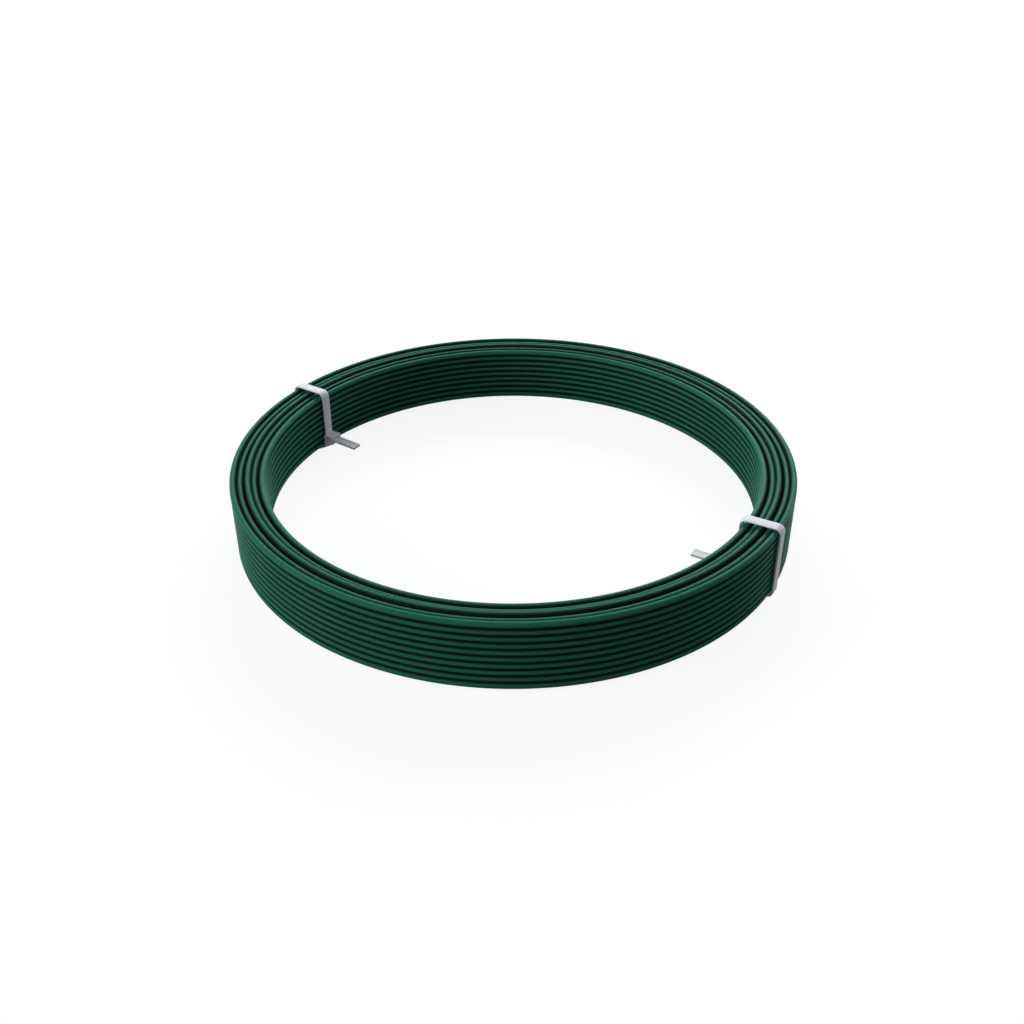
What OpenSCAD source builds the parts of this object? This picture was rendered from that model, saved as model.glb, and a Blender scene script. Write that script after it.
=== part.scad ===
// Coil of plastic-coated wire, laid flat and held by two nylon cable ties.
// The axis of the ring is Z, the floor is z = 0 and +Y points to the back of the picture.

/* [Wire] */
// Outside diameter of the coated wire, mm
wire_d = 2.2; // [1.8:0.1:2.6]
// Outside diameter of the ring, mm
coil_od = 180; // [160:1:220]
// Gap between one layer and the next, measured along the radius, mm
layer_gap = 0.02; // [0:0.02:0.2]
// How far the second layer lies outside its even place, mm
second_shift = 0.14; // [0:0.02:0.2]
// How far the middle layer lies inside its even place, mm
middle_shift = 0.12; // [0:0.02:0.2]
// How far the fourth layer lies outside its even place, mm
fourth_shift = 0.26; // [0:0.02:0.3]
// Turns stacked in the outermost layer
rows_outer = 10; // [8:1:14]
// Turns that the innermost layer is short of at the floor
rows_missing = 1; // [1:1:2]
// Height of the outermost layer's top turn above a plain stack of touching turns, mm
outer_lift = 0.45; // [0.3:0.05:0.6]
// Height of the second layer's top turn above a plain stack, mm
second_lift = -0.15; // [-0.4:0.05:0]
// Height of the middle layer's top turn above a plain stack, mm
middle_lift = 0.35; // [0.25:0.05:0.5]
// Height of the fourth layer's top turn above a plain stack, mm
fourth_lift = -0.5; // [-0.7:0.05:-0.2]
// Height of the innermost layer's top turn above a plain stack, mm
inner_lift = -0.4; // [-0.6:0.05:-0.2]
// How far the solid fills each groove beyond the centres of the turns, as a part of the wire's radius
groove_fill = 0.3; // [0.2:0.05:0.4]

/* [Cable ties] */
// Direction of the left tie seen from above, degrees from +X
left_azimuth = 147.9; // [130:0.1:165]
// Direction of the right tie seen from above, degrees from +X
right_azimuth = -30.7; // [-45:0.1:-15]
// Width of the strap, mm
strap_w = 3.6; // [2.5:0.1:4]
// Thickness of the strap, mm
strap_t = 0.8; // [0.6:0.1:1]
// Clearance between a tie and the crests of the wire, mm
tie_clearance = 0.1; // [0.05:0.05:0.2]
// Width of the head along the ring, mm
head_w = 4.8; // [4.6:0.1:6]
// Height of the head at its front, mm
head_h = 2.8; // [2.8:0.1:3.6]
// How much lower the head reaches at its back, where the strap rises into it, mm
head_ramp = 2.2; // [1.6:0.1:2.4]
// How far the head stands out from the crests of the inner turns, mm
head_depth = 4.1; // [3.4:0.1:6]
// Radius of the head's long edges, mm
head_round = 0.5; // [0.3:0.1:0.6]
// Height of the underside of the head's front above the underside of the wire, mm
head_low = 4.1; // [3.8:0.1:8]
// Height of the middle of the tail above the underside of the head's front, mm
tail_rise = 1.35; // [1.1:0.05:1.4]
// How far the left tie's tail droops on its way to its end, degrees
left_droop = 3; // [0:0.5:4]
// How far the right tie's tail droops on its way to its end, degrees
right_droop = 0; // [0:0.5:4]
// Radius where the trimmed tail of the left tie ends, from the axis of the ring, mm
left_tail_r = 65.6; // [55:0.2:72]
// Radius where the trimmed tail of the right tie ends, from the axis of the ring, mm
right_tail_r = 64; // [55:0.2:72]
// Room around the tail in the mouth of the slot, mm
slot_room = 0.2; // [0.1:0.05:0.3]
// Room above the tail in the mouth of the slot, where the pawl sits, mm
pawl_room = 0.6; // [0.3:0.1:0.6]
// Depth of the mouth of the slot, mm
slot_depth = 1.2; // [0.4:0.1:2]

/* [Hidden] */
wire_r = wire_d / 2;
layers = 5;
shifts = [0, second_shift, -middle_shift, fourth_shift, 0];
layer_r = [for (i = [0:layers - 1]) coil_od / 2 - wire_r - i * (wire_d + layer_gap) + shifts[i]];
outer_r = layer_r[0];
middle_r = layer_r[2];
inner_r = layer_r[4];
bore_r = inner_r - wire_r;
base_z = strap_t + tie_clearance;
low_z = base_z + wire_r;
top_z = low_z + (rows_outer - 1) * wire_d;
lifts = [outer_lift, second_lift, middle_lift, fourth_lift, inner_lift];
layer_top = [for (lift = lifts) top_z + lift];
layer_low = [low_z, low_z + wire_r, low_z, low_z + wire_r, low_z + rows_missing * wire_d];
rows_inner = rows_outer - rows_missing;
fill = groove_fill * wire_r;
hug_r = wire_r + tie_clearance;
strap_fall = (layer_top[0] - layer_top[2]) / (outer_r - middle_r);
strap_in_z = layer_top[0] - strap_fall * (outer_r - inner_r) + 0.05;
head_front_r = bore_r - head_depth;
head_back_r = bore_r - 2 * tie_clearance;
head_z = base_z + head_low;
tail_z = head_z + tail_rise - strap_t / 2;
tail_root_r = head_front_r + slot_depth + 0.5;
$fn = 64;

// One turn of wire in the section of the ring
module turn(r, z) {
    translate([r, z]) circle(r = wire_r);
}

// Height of one turn in a layer whose turns are spread evenly from its lowest to its highest
function row_z(layer, rows, k) = layer_low[layer] + (layer_top[layer] - layer_low[layer]) * k / (rows - 1);

// Section of the ring: turns on all four sides around a filled middle.
// At the floor the second and fourth layers lie half a turn higher than their neighbours.
module coil_section() {
    last = layers - 1;
    union() {
        polygon(concat(
            [[outer_r + fill, layer_low[0]], [outer_r + fill, layer_top[0]]],
            [for (i = [0:last]) [layer_r[i], layer_top[i] + fill]],
            [[inner_r - fill, layer_top[last]], [inner_r - fill, layer_low[last]]],
            [for (i = [last:-1:0]) [layer_r[i], layer_low[i] - fill]]
        ));
        for (k = [0:rows_outer - 1]) turn(outer_r, row_z(0, rows_outer, k));
        for (k = [0:rows_inner - 1]) turn(inner_r, row_z(last, rows_inner, k));
        for (i = [1:last - 1], z = [layer_low[i], layer_top[i]]) turn(layer_r[i], z);
    }
}

module wire_coil() {
    color([0.09, 0.27, 0.20]) rotate_extrude($fn = 360) coil_section();
}

// Convex outline through corner centres, swollen by a radius, as a taut strap wraps round turns of wire
module taut_outline(centres, radius) {
    n = len(centres);
    union() {
        polygon(centres);
        for (i = [0:n - 1]) {
            a = centres[i];
            b = centres[(i + 1) % n];
            along = (b - a) / norm(b - a);
            out = radius * [along[1], -along[0]];
            polygon([a, a + out, b + out, b]);
            translate(a) circle(r = radius);
        }
    }
}

// Closed loop of strap round the section, in the plane of radius and height.
// Over the top it runs straight from the outermost turn past the middle one and bends down inside the ring.
module strap_loop() {
    bearing_turns = [
        [middle_r, layer_low[2]],
        [outer_r, layer_low[0]],
        [outer_r, layer_top[0]],
        [inner_r, strap_in_z],
        [inner_r, layer_low[4]]
    ];
    rotate([90, 0, 0]) translate([0, 0, -strap_w / 2]) linear_extrude(strap_w) difference() {
        taut_outline(bearing_turns, hug_r + strap_t);
        taut_outline(bearing_turns, hug_r);
    }
}

// Head seen along the radius: a rectangle with round upper corners, its foot at the head's lowest point
module head_face() {
    full_h = head_h + head_ramp;
    inset_x = head_w / 2 - head_round;
    union() {
        translate([-inset_x, 0]) square([2 * inset_x, full_h]);
        translate([-head_w / 2, 0]) square([head_w, full_h - head_round]);
        for (x = [-inset_x, inset_x]) translate([x, full_h - head_round]) circle(r = head_round);
    }
}

// Head seen from its side: its underside rises from the wire to the front
module head_side() {
    polygon([
        [head_front_r, head_z],
        [head_front_r, head_z + head_h + 1],
        [head_back_r, head_z + head_h + 1],
        [head_back_r, head_z - head_ramp]
    ]);
}

// Locking head on the inner wall, with the mouth of its slot facing the axis
module tie_head() {
    mouth_w = strap_w + 2 * slot_room;
    mouth_h = strap_t + slot_room + pawl_room;
    difference() {
        intersection() {
            translate([head_front_r, 0, head_z - head_ramp]) rotate([90, 0, 90])
                linear_extrude(head_back_r - head_front_r) head_face();
            translate([0, head_w, 0]) rotate([90, 0, 0]) linear_extrude(2 * head_w) head_side();
        }
        translate([head_front_r - 1, -mouth_w / 2, tail_z - slot_room])
            cube([slot_depth + 1, mouth_w, mouth_h]);
    }
}

// Trimmed end of the strap, pointing at the axis
module tie_tail(end_r, droop) {
    length = (tail_root_r - end_r) / cos(droop);
    translate([tail_root_r, 0, tail_z]) rotate([0, -droop, 0])
        translate([-length, -strap_w / 2, 0]) cube([length, strap_w, strap_t]);
}

module cable_tie(azimuth, tail_end_r, droop) {
    color([0.86, 0.86, 0.90]) rotate([0, 0, azimuth]) union() {
        strap_loop();
        tie_head();
        tie_tail(tail_end_r, droop);
    }
}

module cable_tie_left() {
    cable_tie(left_azimuth, left_tail_r, left_droop);
}

module cable_tie_right() {
    cable_tie(right_azimuth, right_tail_r, right_droop);
}

wire_coil();
cable_tie_left();
cable_tie_right();
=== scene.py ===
"""Flat coil of green plastic-coated wire, bound with two white nylon cable ties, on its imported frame."""

import math

import bmesh
import bpy
import numpy as np
from mathutils import Matrix, Vector


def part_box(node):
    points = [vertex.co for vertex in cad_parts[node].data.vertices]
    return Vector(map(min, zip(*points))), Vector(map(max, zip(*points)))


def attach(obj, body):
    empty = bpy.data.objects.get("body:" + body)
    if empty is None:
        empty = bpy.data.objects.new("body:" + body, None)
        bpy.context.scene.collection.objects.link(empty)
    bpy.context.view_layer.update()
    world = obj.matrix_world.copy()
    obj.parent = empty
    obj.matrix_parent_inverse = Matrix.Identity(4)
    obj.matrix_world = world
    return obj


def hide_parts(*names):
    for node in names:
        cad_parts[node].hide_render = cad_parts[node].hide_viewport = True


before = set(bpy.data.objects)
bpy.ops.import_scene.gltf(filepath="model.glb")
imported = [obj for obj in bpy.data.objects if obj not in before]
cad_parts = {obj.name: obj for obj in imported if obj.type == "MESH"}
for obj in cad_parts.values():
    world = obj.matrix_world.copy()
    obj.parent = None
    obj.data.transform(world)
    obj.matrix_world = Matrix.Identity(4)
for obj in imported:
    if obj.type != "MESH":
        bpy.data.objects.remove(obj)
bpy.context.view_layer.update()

MM = 0.001

# Wire: sizes in metres, with the ring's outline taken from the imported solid.
# A round is drawn a little thinner than its place, so that turns that wander stay apart.
ring_low, ring_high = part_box("wire_coil")
WIRE_R = 1.1 * MM
ROUND_R = 1.05 * MM
CORE_R = 0.8 * MM
CORE_PROUD = 0.12 * MM
LAYER_PITCH = 2.22 * MM
ROWS = 10
LAYER_ROWS = [ROWS, ROWS - 1, ROWS, ROWS - 1, ROWS - 1]
LOW_Z = ring_low[2] + WIRE_R
PLAIN_TOP_Z = LOW_Z + (ROWS - 1) * 2 * WIRE_R
LAYER_LIFT = [0.45 * MM, -0.15 * MM, 0.35 * MM, -0.5 * MM, -0.4 * MM]
LAYERS = len(LAYER_LIFT)
LAYER_SHIFT = [0.0, 0.14 * MM, -0.12 * MM, 0.26 * MM, 0.0]
LAYER_R = [ring_high[0] - WIRE_R - i * LAYER_PITCH + LAYER_SHIFT[i] for i in range(LAYERS)]
LAYER_TOP = [PLAIN_TOP_Z + lift for lift in LAYER_LIFT]
LAYER_LOW = [LOW_Z, LOW_Z + WIRE_R, LOW_Z, LOW_Z + WIRE_R, LOW_Z + 2 * WIRE_R]
OUTER_R = LAYER_R[0]
MIDDLE_R = LAYER_R[2]
INNER_R = LAYER_R[4]

# Where the turns step from one row to the next, out of the photograph's sight, in degrees
OUTER_STEP = (74.0, 106.0)
INNER_STEP = (254.0, 286.0)
# How far a free end springs away from its wall, and over how many degrees
END_SPRING = 0.7 * MM
END_SPRING_DEG = 12.0
# How deep a crossing wire ends inside the turn that it comes from
TUCK = 0.3 * MM

# Mesh density of a turn that shows and of one that is buried
SHOWN_SIDES, SHOWN_STEPS = 18, 288
BURIED_SIDES, BURIED_STEPS = 12, 96
# Wander of a hand-laid turn: its size, its waves in a round and the share of it that goes up and down
WOBBLE = 0.035 * MM
WOBBLE_WAVES = (2, 3, 5)
UPWARD_SHARE = 0.5
# Seeds of the random draws: outer layer, inner layer, and the first of the buried layers
OUTER_SEED, INNER_SEED, BURIED_SEED = 11, 12, 20
# How far apart the turns lie on the coating's texture
TEXTURE_SPREAD = 5.0
SHARP_ANGLE = math.radians(40)
# Painted light on the open side of each turn, easing to painted shade where turns meet: how far above the
# level its middle lies in a wall, so that a wall's turn is painted lighter on its upper side, and its half
# width there and on top
PAINTED_LIGHT_TILT = math.radians(20)
PAINTED_LIGHT_WALL_WIDTH = math.radians(40)
PAINTED_LIGHT_TOP_WIDTH = math.radians(49)

# Cable ties: direction in degrees, radius where the tail ends, and its droop in degrees
TIES = {"cable_tie_left": (147.9, 65.6 * MM, 3.0), "cable_tie_right": (-30.7, 64.0 * MM, 0.0)}
TIE_CLEARANCE = 0.1 * MM

# Strap: a narrow rib towards the coil between thin rounded edges
STRAP_W = 3.6 * MM
STRAP_T = 0.8 * MM
STRAP_RIB_W = 2.0 * MM
STRAP_EDGE_T = 0.4 * MM
EDGE_STEPS = 8
BEND_STEP_DEG = 9
# Over the top it runs straight past the middle layer and bends down a little above that line
BEND_EASE = 0.05 * MM
STRAP_FALL = (LAYER_TOP[0] - LAYER_TOP[2]) / (OUTER_R - MIDDLE_R)
STRAP_IN_Z = LAYER_TOP[0] - STRAP_FALL * (OUTER_R - INNER_R) + BEND_EASE

# Head, with its slot open towards the axis of the ring, and how deep the ends of the strap sit in it
HEAD_W = 4.8 * MM
HEAD_H = 2.8 * MM
HEAD_RAMP = 2.2 * MM
HEAD_DEPTH = 4.1 * MM
HEAD_LOW = 4.1 * MM
HEAD_ROUND = 0.35 * MM
HEAD_ROUND_STEPS = 4
STRAP_HOLD = 0.9 * MM
SLOT_ROOM = 0.2 * MM
SLOT_DEPTH = 2.4 * MM
SLOT_ROUND = 0.08 * MM
SLOT_ROUND_STEPS = 2
SLOT_SHARP = math.radians(60)
# How far the cutter of the slot reaches out of the head
CUT_REACH = MM
BORE_R = INNER_R - WIRE_R
HEAD_FRONT = BORE_R - HEAD_DEPTH
HEAD_BACK = BORE_R - 2 * TIE_CLEARANCE
HEAD_Z = ring_low[2] + HEAD_LOW
HEAD_TOP = HEAD_Z + HEAD_H

# Tail: a wide rib with a shallow channel, whose floor rises tooth by tooth
TAIL_RISE = 1.35 * MM
TAIL_Z = HEAD_Z + TAIL_RISE
TAIL_GAP = 0.2 * MM
TAIL_START = HEAD_FRONT + SLOT_DEPTH - TAIL_GAP
TAIL_RIB_W = 3.3 * MM
TOOTH_PITCH = 0.9 * MM
TOOTH_STEPS = 6
TOOTH_LOW = 0.25
CHANNEL_W = 1.8 * MM
CHANNEL_DEEP = 0.05 * MM
CHANNEL_SLOPE = 0.1 * MM

# Pawl, measured from the front of the head and from the upper face of the tail
PAWL_ROOM = 0.6 * MM
PAWL_SUNK = 0.1 * MM
PAWL_W = 3.0 * MM
PAWL_FRONT = 0.5 * MM
PAWL_NOSE = 0.7 * MM
PAWL_TIP = 1.0 * MM
PAWL_HEEL = 1.5 * MM
PAWL_BACK = 2.0 * MM
PAWL_NOSE_GAP = 0.2 * MM
PAWL_TIP_GAP = 0.04 * MM

# Light: neutral from the key lamp, a little cooler from the other lamps and all round.
# Each lamp has its place, width, height, power in watts and colour.
PLAIN_LIGHT = (1.0, 1.0, 1.0)
COOL_LIGHT = (0.93, 0.99, 1.05)
LAMPS = {
    "key": ((-1.7, -0.297, 0.513), 0.9, 0.72, 16.3, PLAIN_LIGHT),
    "fill": ((0.81, 0.48, 0.22), 0.16, 0.16, 1.5, COOL_LIGHT),
    "front": ((0.0, -0.88, 0.48), 0.5, 0.5, 1.0, COOL_LIGHT),
    "back": ((0.12, 0.83, 0.54), 0.9, 0.4, 8.0, COOL_LIGHT),
}
LAMP_TARGET = (0, 0, 10 * MM)
WORLD_STRENGTH = 0.14

# Floor: its grey as the camera sees it and as it lights the coil, and its glow near and far, in metres
FLOOR_SIZE = 6.0
FLOOR_SEEN = (0.20, 0.20, 0.20, 1.0)
FLOOR_UNSEEN = (0.02, 0.02, 0.02, 1.0)
GLOW_FADE = {"From Min": 0.3, "From Max": 0.9, "To Min": 0.89, "To Max": 1.0}
WHITE = (1.0, 1.0, 1.0, 1.0)

# Camera, measured on the photograph: the frame is 1024 pixels square
FRAME_PX = 1024
FOCAL_PX = 1163.9
SENSOR_MM = 36.0
CAMERA_ELEVATION = 32.56
CAMERA_ROLL = -0.164
CAMERA_DISTANCE = 387.8 * MM
CAMERA_RIGHT = -0.43 * MM
CAMERA_UP = -0.45 * MM
CLIP_START = 10 * MM


def smooth_step(x):
    """Ease from 0 to 1."""
    x = np.clip(x, 0.0, 1.0)
    return x * x * (3 - 2 * x)


def nearness(turned, width):
    """1 in a direction, easing to 0 at an angle from it."""
    turned = (turned + math.pi) % (2 * math.pi) - math.pi
    return np.clip(1 - (turned / width) ** 2, 0, 1)


def painted_light_of(around, out, up):
    """Painted light of each point of a turn: 1 on its open side and in the corner between two open sides,
    easing to 0, painted shade, towards where turns meet.
    """
    side = np.where(out > 0, PAINTED_LIGHT_TILT, math.pi - PAINTED_LIGHT_TILT)
    near_side = np.abs(out) * nearness(around - side, PAINTED_LIGHT_WALL_WIDTH)
    near_top = np.abs(up) * nearness(around - up * math.pi / 2, PAINTED_LIGHT_TOP_WIDTH)
    corner = (out * np.cos(around) > 0) & (up * np.sin(around) > 0)
    return np.where(corner, 1.0, np.maximum(near_side, near_top))


def within(azimuth, step_deg):
    """1 in the stretch where turns step aside and bare the layer behind them, 0 elsewhere."""
    start, end = (math.radians(a) for a in step_deg)
    return np.where((azimuth > start) & (azimuth < end), 1, 0)


class Wire:
    """Lists of vertices, faces and UVs for the turns of one layer."""

    def __init__(self, seed):
        self.rng = np.random.default_rng(seed)
        self.verts = []
        self.faces = []
        self.uvs = []
        self.tones = []
        self.painted_lights = []
        self.steel = []
        self.count = 0

    def wobble(self, azimuth):
        """Small slow wander of a hand-laid turn, the same at both ends of a full round."""
        total = np.zeros_like(azimuth)
        for waves in WOBBLE_WAVES:
            total += np.sin(waves * azimuth + self.rng.uniform(0, 2 * math.pi)) / waves
        return WOBBLE * total

    def add_turns(self, azimuth, radius, height, sides, closed, open_out, open_up):
        """Sweep a round wire along a path; U runs along the wire and V around it, in metres.

        open_out and open_up are 1, 0 or -1 for a wire that lies open outwards and upwards, to neither
        side, or inwards and downwards. They set the painted light of each point: light on the open side of
        its turn, painted shade where turns meet.
        """
        steps = len(azimuth)
        around = np.linspace(0, 2 * math.pi, sides, endpoint=False)
        rho = radius[:, None] + ROUND_R * np.cos(around)
        z = height[:, None] + ROUND_R * np.sin(around)
        verts = np.stack([rho * np.cos(azimuth)[:, None], rho * np.sin(azimuth)[:, None], z], -1)
        i = np.arange(steps if closed else steps - 1)[:, None]
        j = np.arange(sides)[None, :]
        ahead = (i + 1) % steps
        beside = (j + 1) % sides
        quads = np.stack([i * sides + j, ahead * sides + j, ahead * sides + beside, i * sides + beside], -1)
        step = azimuth[1] - azimuth[0]
        u0 = np.broadcast_to(i * step * OUTER_R, (len(i), sides))
        u1 = u0 + step * OUTER_R
        v0 = np.broadcast_to(j * 2 * math.pi * WIRE_R / sides, u0.shape)
        v1 = v0 + 2 * math.pi * WIRE_R / sides
        uv = np.stack([np.stack(c, -1) for c in ((u0, v0), (u1, v0), (u1, v1), (u0, v1))], 2)
        first = self.count
        self.verts.append(verts.reshape(-1, 3))
        self.faces += (quads.reshape(-1, 4) + first).tolist()
        self.uvs.append(uv.reshape(-1, 2) + self.rng.uniform(0, TEXTURE_SPREAD, 2))
        self.steel += [0] * quads.shape[0] * sides
        self.tones.append(np.full(steps * sides, self.rng.uniform(0, 1)))
        out = np.broadcast_to(open_out, steps)[:, None]
        up = np.broadcast_to(open_up, steps)[:, None]
        self.painted_lights.append(painted_light_of(around, out, up).ravel())
        self.count += steps * sides
        return first

    def add_ring(self, radius, height, open_out, open_up, bared=None):
        """One closed level turn, with fewer faces where it is buried but for the stretch bared."""
        shown = open_up or not bared
        sides, steps = (SHOWN_SIDES, SHOWN_STEPS) if shown else (BURIED_SIDES, BURIED_STEPS)
        azimuth = np.linspace(0, 2 * math.pi, steps, endpoint=False)
        # Along the bared stretch only, the open side of a buried turn takes painted light.
        if bared:
            open_out = open_out * within(azimuth, bared)
        radii = radius + self.wobble(azimuth)
        heights = height + UPWARD_SHARE * self.wobble(azimuth)
        self.add_turns(azimuth, radii, heights, sides, True, open_out, open_up)

    def add_end(self, azimuth, radius, height, ring_first, sides, outwards, steel_shows):
        """Close a cut end: the coating's ring, then the steel core standing a little proud."""
        along = np.array([-math.sin(azimuth), math.cos(azimuth), 0.0]) * outwards
        out = np.array([math.cos(azimuth), math.sin(azimuth), 0.0])
        centre = radius * out + np.array([0.0, 0.0, height])
        proud = (CORE_PROUD if steel_shows else 0.0) * along
        around = np.linspace(0, 2 * math.pi, sides, endpoint=False)
        spoke = np.cos(around)[:, None] * out + np.sin(around)[:, None] * np.array([0.0, 0.0, 1.0])
        core = centre + CORE_R * spoke
        first = self.count
        self.verts += [core, core + proud, (centre + proud)[None]]
        self.tones.append(np.zeros(2 * sides + 1))
        # The cut end is painted fully lit, with no painted shade.
        self.painted_lights.append(np.ones(2 * sides + 1))
        self.count += 2 * sides + 1
        for j in range(sides):
            k = (j + 1) % sides
            strips = [
                ([ring_first + j, ring_first + k, first + k, first + j], 0),
                ([first + j, first + k, first + sides + k, first + sides + j], int(steel_shows)),
                ([first + sides + j, first + sides + k, first + 2 * sides], int(steel_shows)),
            ]
            for face, steel in strips:
                self.faces.append(face if outwards < 0 else face[::-1])
                self.uvs.append(np.zeros((len(face), 2)))
                self.steel.append(steel)

    def build(self, name, materials):
        """Make the mesh object and put it on the frame in place of the turned solid."""
        mesh = bpy.data.meshes.new(name)
        mesh.from_pydata(np.concatenate(self.verts).tolist(), [], self.faces)
        mesh.uv_layers.new(name="along_wire").data.foreach_set("uv", np.concatenate(self.uvs).ravel())
        tone = mesh.attributes.new("turn_tone", "FLOAT", "POINT")
        tone.data.foreach_set("value", np.concatenate(self.tones))
        # Painted light and shade between turns, stored on the mesh for the coating.
        painted_light = mesh.attributes.new("painted_light", "FLOAT", "POINT")
        painted_light.data.foreach_set("value", np.concatenate(self.painted_lights))
        mesh.polygons.foreach_set("material_index", self.steel)
        place(name, mesh, materials, "wire_coil")


def place(name, mesh, materials, node):
    """Link a finished mesh as a piece that rides on the frame and stands for a node."""
    for material in materials:
        mesh.materials.append(material)
    mesh.shade_smooth()
    mesh.set_sharp_from_angle(angle=SHARP_ANGLE)
    piece = bpy.data.objects.new(name, mesh)
    bpy.context.scene.collection.objects.link(piece)
    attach(piece, "root")
    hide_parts(node)


def row_z(layer, k):
    """Height of one turn in a layer whose turns are spread evenly from its lowest to its highest."""
    return LAYER_LOW[layer] + (LAYER_TOP[layer] - LAYER_LOW[layer]) * k / (LAYER_ROWS[layer] - 1)


def stepped_thread(step_deg, rounds):
    """Azimuth and rows passed of a wire that keeps level and then steps one row in each round."""
    start, end = (math.radians(a) for a in step_deg)
    azimuth = np.arange(end, start + 2 * math.pi * rounds, 2 * math.pi / SHOWN_STEPS)
    done = (azimuth - end) / (2 * math.pi)
    level = 1 - (end - start) / (2 * math.pi)
    return azimuth, np.floor(done) + smooth_step((done % 1 - level) / (1 - level))


def make_outer_layer(materials):
    """Outermost turns: a level top turn, then a wire that steps down to its free end at the floor."""
    wire = Wire(OUTER_SEED)
    wire.add_ring(OUTER_R, LAYER_TOP[0], 1, 1)
    azimuth, passed = stepped_thread(OUTER_STEP, ROWS - 1)
    height = row_z(0, ROWS - 2 - passed) + UPWARD_SHARE * wire.wobble(azimuth)
    radius = OUTER_R + wire.wobble(azimuth)
    to_end = np.degrees(azimuth[-1] - azimuth)
    radius += END_SPRING * smooth_step(1 - to_end / END_SPRING_DEG)
    lead = np.radians(np.arange(sum(OUTER_STEP) / 2, OUTER_STEP[1], 360 / SHOWN_STEPS))
    rise = smooth_step(np.linspace(0, 1, len(lead), endpoint=False))
    from_z = row_z(1, LAYER_ROWS[1] - 2)
    from_r = LAYER_R[1] - TUCK
    azimuth = np.concatenate([lead, azimuth])
    height = np.concatenate([from_z + (height[0] - from_z) * rise, height])
    radius = np.concatenate([from_r + (radius[0] - from_r) * rise, radius])
    # The lowest row takes painted light underneath as well as on its open side.
    open_up = np.where(height < row_z(0, 0.5), -1, 0)
    first = wire.add_turns(azimuth, radius, height, SHOWN_SIDES, False, 1, open_up)
    last = first + (len(azimuth) - 1) * SHOWN_SIDES
    wire.add_end(azimuth[0], radius[0], height[0], first, SHOWN_SIDES, -1, False)
    wire.add_end(azimuth[-1], radius[-1], height[-1], last, SHOWN_SIDES, 1, True)
    wire.build("wire_layer_outer", materials)


def make_inner_layer(materials):
    """Innermost turns: a level top turn, and a wire that steps up from its free end at the floor."""
    wire = Wire(INNER_SEED)
    inner = LAYERS - 1
    wire.add_ring(INNER_R, LAYER_TOP[inner], -1, 1)
    azimuth, passed = stepped_thread(INNER_STEP, LAYER_ROWS[inner] - 1)
    height = row_z(inner, passed) + UPWARD_SHARE * wire.wobble(azimuth)
    radius = INNER_R + wire.wobble(azimuth)
    from_end = np.degrees(azimuth - azimuth[0])
    radius -= END_SPRING * smooth_step(1 - from_end / END_SPRING_DEG)
    half_step = (INNER_STEP[1] - INNER_STEP[0]) / 2
    lead = azimuth[-1] + np.radians(np.arange(360 / SHOWN_STEPS, half_step, 360 / SHOWN_STEPS))
    dive = smooth_step(np.linspace(0, 1, len(lead)))
    to_z = row_z(inner - 1, LAYER_ROWS[inner - 1] - 2)
    to_r = LAYER_R[inner - 1] + TUCK
    azimuth = np.concatenate([azimuth, lead])
    height = np.concatenate([height, height[-1] + (to_z - height[-1]) * dive])
    radius = np.concatenate([radius, radius[-1] + (to_r - radius[-1]) * dive])
    # The lowest row takes painted light underneath as well as on its open side.
    open_up = np.where(height < row_z(inner, 0.5), -1, 0)
    first = wire.add_turns(azimuth, radius, height, SHOWN_SIDES, False, -1, open_up)
    last = first + (len(azimuth) - 1) * SHOWN_SIDES
    wire.add_end(azimuth[0], radius[0], height[0], first, SHOWN_SIDES, -1, True)
    wire.add_end(azimuth[-1], radius[-1], height[-1], last, SHOWN_SIDES, 1, False)
    wire.build("wire_layer_inner", materials)


def make_buried_layer(index, materials):
    """A layer between the walls: its top and bottom turns show, and the rest where a wall's turns step."""
    wire = Wire(BURIED_SEED + index)
    last = LAYER_ROWS[index] - 1
    # A buried turn is painted shade all round but for painted light on top of the top turn, under the bottom
    # turn, and on its open side where a wall's turns step aside.
    open_out, bared = (1, OUTER_STEP) if index < LAYERS // 2 else (-1, INNER_STEP)
    for k in range(last + 1):
        open_up = (k == last) - (k == 0)
        side = 0 if k == last else open_out
        wire.add_ring(LAYER_R[index], row_z(index, k), side, open_up, bared)
    wire.build(f"wire_layer_{index + 1}", materials)


def arc(centre, radius, from_deg, to_deg):
    """Points on an arc in the plane of radius and height, with both ends."""
    count = max(2, round(abs(to_deg - from_deg) / BEND_STEP_DEG))
    angles = [math.radians(from_deg + (to_deg - from_deg) * k / count) for k in range(count + 1)]
    return [(centre[0] + radius * math.cos(a), centre[1] + radius * math.sin(a)) for a in angles]


def loop_route():
    """Middle line of the strap: up out of the head, round the coil, and from below into the head again."""
    offset = WIRE_R + TIE_CLEARANCE + STRAP_T / 2
    turns = [
        (INNER_R, STRAP_IN_Z),
        (OUTER_R, LAYER_TOP[0]),
        (OUTER_R, LAYER_LOW[0]),
        (MIDDLE_R, LAYER_LOW[2]),
        (INNER_R, LAYER_LOW[4]),
    ]
    inside_head = (INNER_R - offset, HEAD_TOP - STRAP_HOLD)
    route = [inside_head]
    facing = 180.0
    for centre, ahead in zip(turns, turns[1:] + turns[:1]):
        leaving = math.degrees(math.atan2(ahead[1] - centre[1], ahead[0] - centre[0])) + 90
        while leaving > facing:
            leaving -= 360
        route += arc(centre, offset, facing, leaving)
        facing = leaving
    return route + [inside_head]


def tail_route(tail_end, droop):
    """Middle line of the tail, from inside the slot to its cut end, with a few steps to a tooth."""
    steps = round((TAIL_START - tail_end) / TOOTH_PITCH * TOOTH_STEPS)
    fall = math.tan(math.radians(droop))
    radii = [TAIL_START + (tail_end - TAIL_START) * k / steps for k in range(steps + 1)]
    return [(r, TAIL_Z - (TAIL_START - r) * fall) for r in radii]


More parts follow.
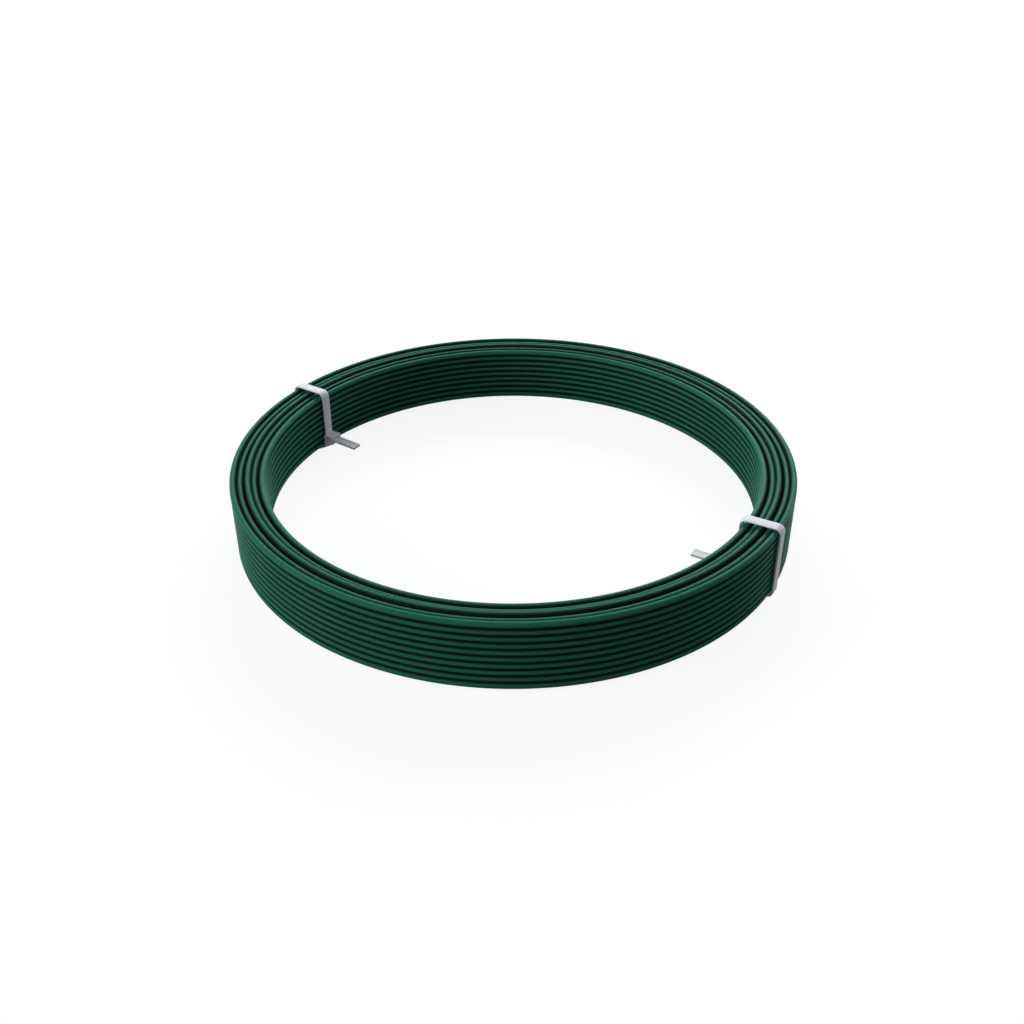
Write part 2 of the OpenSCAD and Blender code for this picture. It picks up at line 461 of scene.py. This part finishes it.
def strap_section(rib_w, channel):
    """Outline across the strap: thin rounded edges outside, a narrower channelled rib towards the coil."""
    edge = STRAP_EDGE_T / 2
    wide, rib = STRAP_W / 2 - edge, rib_w / 2
    outside, inside = STRAP_T / 2, -STRAP_T / 2
    outline = []
    for y, start in ((wide, -90), (-wide, 90)):
        for k in range(EDGE_STEPS + 1):
            turned = math.radians(start + 180 * k / EDGE_STEPS)
            outline.append((y + edge * math.cos(turned), outside - edge + edge * math.sin(turned)))
    bank = CHANNEL_W / 2
    foot = bank - CHANNEL_SLOPE
    floor = inside + channel
    outline += [(-rib, outside - STRAP_EDGE_T), (-rib, inside), (-bank, inside), (-foot, floor)]
    outline += [(foot, floor), (bank, inside), (rib, inside), (rib, outside - STRAP_EDGE_T)]
    return outline


def sweep_strap(bm, route, toothed):
    """Sweep the strap's section along a route in the plane of radius and height."""
    rib_w = TAIL_RIB_W if toothed else STRAP_RIB_W
    points = np.array(route)
    ahead = np.gradient(points, axis=0)
    ahead /= np.linalg.norm(ahead, axis=1)[:, None]
    rings = []
    for k, (point, way) in enumerate(zip(points, ahead)):
        along_tooth = k % TOOTH_STEPS / TOOTH_STEPS
        tooth = CHANNEL_DEEP * (TOOTH_LOW + (1 - TOOTH_LOW) * along_tooth) if toothed else 0.0
        out = np.array([-way[1], way[0]])
        ring = []
        for y, a in strap_section(rib_w, tooth):
            rho, z = point + a * out
            ring.append(bm.verts.new((rho, y, z)))
        rings.append(ring)
    count = len(rings[0])
    for one, two in zip(rings, rings[1:]):
        for j in range(count):
            bm.faces.new((one[j], one[(j + 1) % count], two[(j + 1) % count], two[j]))
    bm.faces.new(rings[0])
    bm.faces.new(rings[-1])


def add_prism(bm, profile, half_width):
    """Add a prism whose outline lies in the plane of radius and height."""
    left = [bm.verts.new((rho, half_width, z)) for rho, z in profile]
    right = [bm.verts.new((rho, -half_width, z)) for rho, z in profile]
    bm.faces.new(left)
    bm.faces.new(right[::-1])
    for k in range(len(profile)):
        n = (k + 1) % len(profile)
        bm.faces.new((left[k], right[k], right[n], left[n]))


def prism_object(name, profile, half_width, bevel):
    """A prism with rounded edges, as a temporary object."""
    bm = bmesh.new()
    add_prism(bm, profile, half_width)
    bmesh.ops.recalc_face_normals(bm, faces=bm.faces)
    if bevel:
        bmesh.ops.bevel(bm, geom=bm.edges[:], offset=bevel, segments=HEAD_ROUND_STEPS, profile=0.5,
                        affect="EDGES")
    mesh = bpy.data.meshes.new(name)
    bm.to_mesh(mesh)
    bm.free()
    made = bpy.data.objects.new(name, mesh)
    bpy.context.scene.collection.objects.link(made)
    return made


def head_mesh():
    """Locking head: a rounded block whose underside rises to the front, with the slot's mouth in it."""
    head = prism_object("head_block", [
        (HEAD_FRONT, HEAD_Z),
        (HEAD_FRONT, HEAD_TOP),
        (HEAD_BACK, HEAD_TOP),
        (HEAD_BACK, HEAD_Z - HEAD_RAMP),
    ], HEAD_W / 2, HEAD_ROUND)
    slot_low = TAIL_Z - STRAP_T / 2 - SLOT_ROOM
    slot_high = TAIL_Z + STRAP_T / 2 + PAWL_ROOM
    slot = prism_object("slot", [
        (HEAD_FRONT - CUT_REACH, slot_low),
        (HEAD_FRONT - CUT_REACH, slot_high),
        (HEAD_FRONT + SLOT_DEPTH, slot_high),
        (HEAD_FRONT + SLOT_DEPTH, slot_low),
    ], STRAP_W / 2 + SLOT_ROOM, 0)
    cut = head.modifiers.new("slot", "BOOLEAN")
    cut.operation = "DIFFERENCE"
    cut.solver = "EXACT"
    cut.object = slot
    soften = head.modifiers.new("soften", "BEVEL")
    soften.width = SLOT_ROUND
    soften.segments = SLOT_ROUND_STEPS
    soften.limit_method = "ANGLE"
    soften.angle_limit = SLOT_SHARP
    bpy.context.view_layer.update()
    made = bpy.data.meshes.new_from_object(head.evaluated_get(bpy.context.evaluated_depsgraph_get()))
    for used in (head, slot):
        bpy.data.objects.remove(used, do_unlink=True)
    return made


def add_pawl(bm):
    """The sprung catch in the top of the slot, its tip just over the teeth."""
    tail_top = TAIL_Z + STRAP_T / 2
    top = tail_top + PAWL_ROOM + PAWL_SUNK
    add_prism(bm, [
        (HEAD_FRONT + PAWL_BACK, top),
        (HEAD_FRONT + PAWL_FRONT, top),
        (HEAD_FRONT + PAWL_NOSE, tail_top + PAWL_NOSE_GAP),
        (HEAD_FRONT + PAWL_TIP, tail_top + PAWL_TIP_GAP),
        (HEAD_FRONT + PAWL_HEEL, tail_top + PAWL_NOSE_GAP),
    ], PAWL_W / 2)


def make_tie(node, head, material):
    """One cable tie, built in the plane of the X axis and turned to its place on the ring."""
    azimuth, tail_end, droop = TIES[node]
    bm = bmesh.new()
    sweep_strap(bm, loop_route(), False)
    sweep_strap(bm, tail_route(tail_end, droop), True)
    add_pawl(bm)
    bm.from_mesh(head)
    bmesh.ops.recalc_face_normals(bm, faces=bm.faces)
    bmesh.ops.rotate(bm, matrix=Matrix.Rotation(math.radians(azimuth), 3, "Z"), verts=bm.verts)
    mesh = bpy.data.meshes.new(node + "_nylon")
    bm.to_mesh(mesh)
    bm.free()
    place(node + "_nylon", mesh, [material], node)


class Nodes:
    """Short way to add and join shader nodes of one material."""

    def __init__(self, name):
        self.material = bpy.data.materials.new(name)
        self.material.use_nodes = True
        self.tree = self.material.node_tree
        self.shader = self.tree.nodes["Principled BSDF"]

    def add(self, kind, settings=None, inputs=None):
        """Add a node, with its settings and with its sockets set to values or joined to outputs."""
        node = self.tree.nodes.new(kind)
        for key, value in (settings or {}).items():
            setattr(node, key, value)
        for key, value in (inputs or {}).items():
            self.join(node, key, value)
        return node

    def join(self, node, key, value):
        """Set a socket to a value or link it to an output."""
        if isinstance(value, bpy.types.NodeSocket):
            self.tree.links.new(value, node.inputs[key])
        else:
            node.inputs[key].default_value = value

    def noise(self, vector, scale, detail):
        """Noise along a vector."""
        node = self.add("ShaderNodeTexNoise", {}, {"Vector": vector, "Scale": scale, "Detail": detail})
        return node.outputs["Fac"]

    def stretched_noise(self, vector, scales, detail):
        """Noise with its own scale along each axis of a vector."""
        node = self.add("ShaderNodeMapping", {}, {"Vector": vector, "Scale": scales})
        return self.noise(node.outputs["Vector"], 1.0, detail)

    def bump(self, height, strength, distance):
        """Raise the surface a little by a height."""
        node = self.add("ShaderNodeBump", {}, {"Strength": strength, "Distance": distance, "Height": height})
        self.join(self.shader, "Normal", node.outputs["Normal"])

    def ramp(self, factor, low, high, start, end):
        """Map a factor between two limits to the values between low and high."""
        node = self.add("ShaderNodeMapRange", {}, {"Value": factor, "From Min": start, "From Max": end,
                                                   "To Min": low, "To Max": high})
        return node.outputs["Result"]

    def blend(self, factor, one, two):
        """Mix two colours."""
        node = self.add("ShaderNodeMix", {"data_type": "RGBA"})
        self.join(node, 0, factor)
        self.join(node, 6, one)
        self.join(node, 7, two)
        return node.outputs[2]


def coating_material():
    """Satin PVC over wire: painted light on the open side of each turn and painted shade in the grooves
    between turns, faint lines and scuffs.
    """
    n = Nodes("green_pvc_coating")
    uv = n.add("ShaderNodeUVMap", {"uv_map": "along_wire"}).outputs["UV"]
    tone = n.add("ShaderNodeAttribute", {"attribute_name": "turn_tone"}).outputs["Fac"]
    painted_light = n.add("ShaderNodeAttribute", {"attribute_name": "painted_light"}).outputs["Fac"]
    slow = n.stretched_noise(uv, scales=(25.0, 60.0, 1.0), detail=3.0)
    lines = n.stretched_noise(uv, scales=(30.0, 2600.0, 1.0), detail=2.0)
    scuff = n.stretched_noise(uv, scales=(180.0, 900.0, 1.0), detail=5.0)
    # The first colour is painted shade: near-black green painted where turns meet, standing in for the shade
    # between them.
    painted_shade = (0.011, 0.022, 0.020, 1.0)
    deep = (0.018, 0.155, 0.094, 1.0)
    fresh = (0.023, 0.186, 0.114, 1.0)
    pale = (0.062, 0.236, 0.165, 1.0)
    base = n.blend(n.ramp(tone, low=0.25, high=0.75, start=0.0, end=1.0), deep, fresh)
    base = n.blend(n.ramp(slow, low=0.0, high=0.6, start=0.35, end=0.75), base, fresh)
    rubbed = n.ramp(scuff, low=0.0, high=0.45, start=0.60, end=0.78)
    base = n.blend(rubbed, base, pale)
    # Painted light and shade: the coating's colour holds on the open side of each turn and fades to painted
    # shade where turns meet, lighter on the upper side of a wall's turn.
    base = n.blend(painted_light, painted_shade, base)
    satin = n.ramp(slow, low=0.32, high=0.42, start=0.3, end=0.7)
    rough = n.ramp(painted_light, low=1.0, high=satin, start=0.3, end=0.9)
    n.join(n.shader, "Base Color", base)
    n.join(n.shader, "Roughness", rough)
    n.join(n.shader, "Specular IOR Level", 0.035)
    n.bump(lines, strength=0.12, distance=0.05 * MM)
    return n.material


def steel_material():
    """Cut face of the galvanised core, with shear marks."""
    n = Nodes("cut_steel_core")
    where = n.add("ShaderNodeTexCoord").outputs["Object"]
    marks = n.noise(where, scale=6000.0, detail=2.0)
    dull = (0.34, 0.35, 0.36, 1.0)
    bright = (0.62, 0.63, 0.64, 1.0)
    n.join(n.shader, "Base Color", n.blend(marks, dull, bright))
    n.join(n.shader, "Roughness", n.ramp(marks, low=0.3, high=0.5, start=0.3, end=0.7))
    n.join(n.shader, "Metallic", 1.0)
    return n.material


def nylon_material():
    """Natural white nylon: faint cloudiness and a fine moulded grain."""
    n = Nodes("white_nylon")
    where = n.add("ShaderNodeTexCoord").outputs["Object"]
    cloud = n.noise(where, scale=260.0, detail=3.0)
    grain = n.noise(where, scale=3200.0, detail=2.0)
    milky = (0.71, 0.71, 0.73, 1.0)
    clear = (0.77, 0.77, 0.79, 1.0)
    base = n.blend(n.ramp(cloud, low=0.0, high=1.0, start=0.3, end=0.7), milky, clear)
    n.join(n.shader, "Base Color", base)
    n.join(n.shader, "Roughness", n.ramp(cloud, low=0.40, high=0.52, start=0.3, end=0.7))
    n.bump(grain, strength=0.15, distance=0.03 * MM)
    return n.material


def seen_directly(tree):
    """1 for a camera, glossy or transmission ray and 0 for the rays that light the object."""
    path = tree.nodes.new("ShaderNodeLightPath")
    total = path.outputs["Is Camera Ray"]
    for kind in ("Is Glossy Ray", "Is Transmission Ray"):
        either = tree.nodes.new("ShaderNodeMath")
        either.operation = "MAXIMUM"
        tree.links.new(total, either.inputs[0])
        tree.links.new(path.outputs[kind], either.inputs[1])
        total = either.outputs[0]
    return total


def make_floor():
    """Plain pale floor: near white to the eye, with the coil's soft shadow on it, and white further out."""
    bpy.ops.mesh.primitive_plane_add(size=FLOOR_SIZE, location=(0, 0, 0))
    floor = bpy.context.object
    floor.name = "floor"
    material = bpy.data.materials.new("pale_floor")
    material.use_nodes = True
    tree = material.node_tree
    tree.nodes.clear()
    pale = tree.nodes.new("ShaderNodeBsdfDiffuse")
    pale.inputs["Color"].default_value = FLOOR_SEEN
    where = tree.nodes.new("ShaderNodeTexCoord")
    away = tree.nodes.new("ShaderNodeVectorMath")
    away.operation = "LENGTH"
    tree.links.new(where.outputs["Object"], away.inputs[0])
    fade = tree.nodes.new("ShaderNodeMapRange")
    tree.links.new(away.outputs["Value"], fade.inputs["Value"])
    for key, value in GLOW_FADE.items():
        fade.inputs[key].default_value = value
    glow = tree.nodes.new("ShaderNodeEmission")
    glow.inputs["Color"].default_value = WHITE
    tree.links.new(fade.outputs["Result"], glow.inputs["Strength"])
    bright = tree.nodes.new("ShaderNodeAddShader")
    tree.links.new(pale.outputs[0], bright.inputs[0])
    tree.links.new(glow.outputs[0], bright.inputs[1])
    plain = tree.nodes.new("ShaderNodeBsdfDiffuse")
    plain.inputs["Color"].default_value = FLOOR_UNSEEN
    either = tree.nodes.new("ShaderNodeMixShader")
    tree.links.new(seen_directly(tree), either.inputs[0])
    tree.links.new(plain.outputs[0], either.inputs[1])
    tree.links.new(bright.outputs[0], either.inputs[2])
    output = tree.nodes.new("ShaderNodeOutputMaterial")
    tree.links.new(either.outputs[0], output.inputs["Surface"])
    floor.data.materials.append(material)


def make_world():
    """Dim even light all round, behind a white background."""
    world = bpy.data.worlds.new("studio")
    bpy.context.scene.world = world
    world.use_nodes = True
    tree = world.node_tree
    dim = tree.nodes["Background"]
    dim.inputs["Color"].default_value = COOL_LIGHT + (1.0,)
    dim.inputs["Strength"].default_value = WORLD_STRENGTH
    white = tree.nodes.new("ShaderNodeBackground")
    white.inputs["Color"].default_value = WHITE
    either = tree.nodes.new("ShaderNodeMixShader")
    tree.links.new(seen_directly(tree), either.inputs[0])
    tree.links.new(dim.outputs[0], either.inputs[1])
    tree.links.new(white.outputs[0], either.inputs[2])
    tree.links.new(either.outputs[0], tree.nodes["World Output"].inputs["Surface"])


def make_lamp(name, place_at, width, height, watts, colour):
    """A soft box that looks at the middle of the coil."""
    data = bpy.data.lights.new(name, "AREA")
    data.shape = "RECTANGLE"
    data.size = width
    data.size_y = height
    data.energy = watts
    data.color = colour
    lamp = bpy.data.objects.new(name, data)
    lamp.location = place_at
    lamp.rotation_euler = (Vector(LAMP_TARGET) - Vector(place_at)).to_track_quat("-Z", "Y").to_euler()
    bpy.context.scene.collection.objects.link(lamp)


def make_camera():
    """Camera at the photograph's viewing angle, from its measured elevation, distance and focal length."""
    data = bpy.data.cameras.new("camera")
    data.sensor_width = SENSOR_MM
    data.lens = FOCAL_PX / FRAME_PX * SENSOR_MM
    data.clip_start = CLIP_START
    camera = bpy.data.objects.new("camera", data)
    tilt = math.radians(CAMERA_ELEVATION)
    up = Vector((0, math.sin(tilt), math.cos(tilt)))
    towards = Vector((0, -math.cos(tilt), math.sin(tilt)))
    right = Vector((1, 0, 0))
    camera.location = right * CAMERA_RIGHT + up * CAMERA_UP + towards * CAMERA_DISTANCE
    camera.location.z += ring_low[2]
    turned = Matrix((right, up, towards)).transposed() @ Matrix.Rotation(math.radians(CAMERA_ROLL), 3, "Z")
    camera.rotation_euler = turned.to_euler()
    bpy.context.scene.collection.objects.link(camera)
    bpy.context.scene.camera = camera


make_camera()
wire_materials = [coating_material(), steel_material()]
make_outer_layer(wire_materials)
make_inner_layer(wire_materials)
for layer in range(1, LAYERS - 1):
    make_buried_layer(layer, wire_materials)
nylon = nylon_material()
head_block = head_mesh()
for tie_node in TIES:
    make_tie(tie_node, head_block, nylon)
make_floor()
make_world()
for lamp_name, lamp_values in LAMPS.items():
    make_lamp(lamp_name, *lamp_values)
bpy.context.scene.view_settings.view_transform = "Standard"
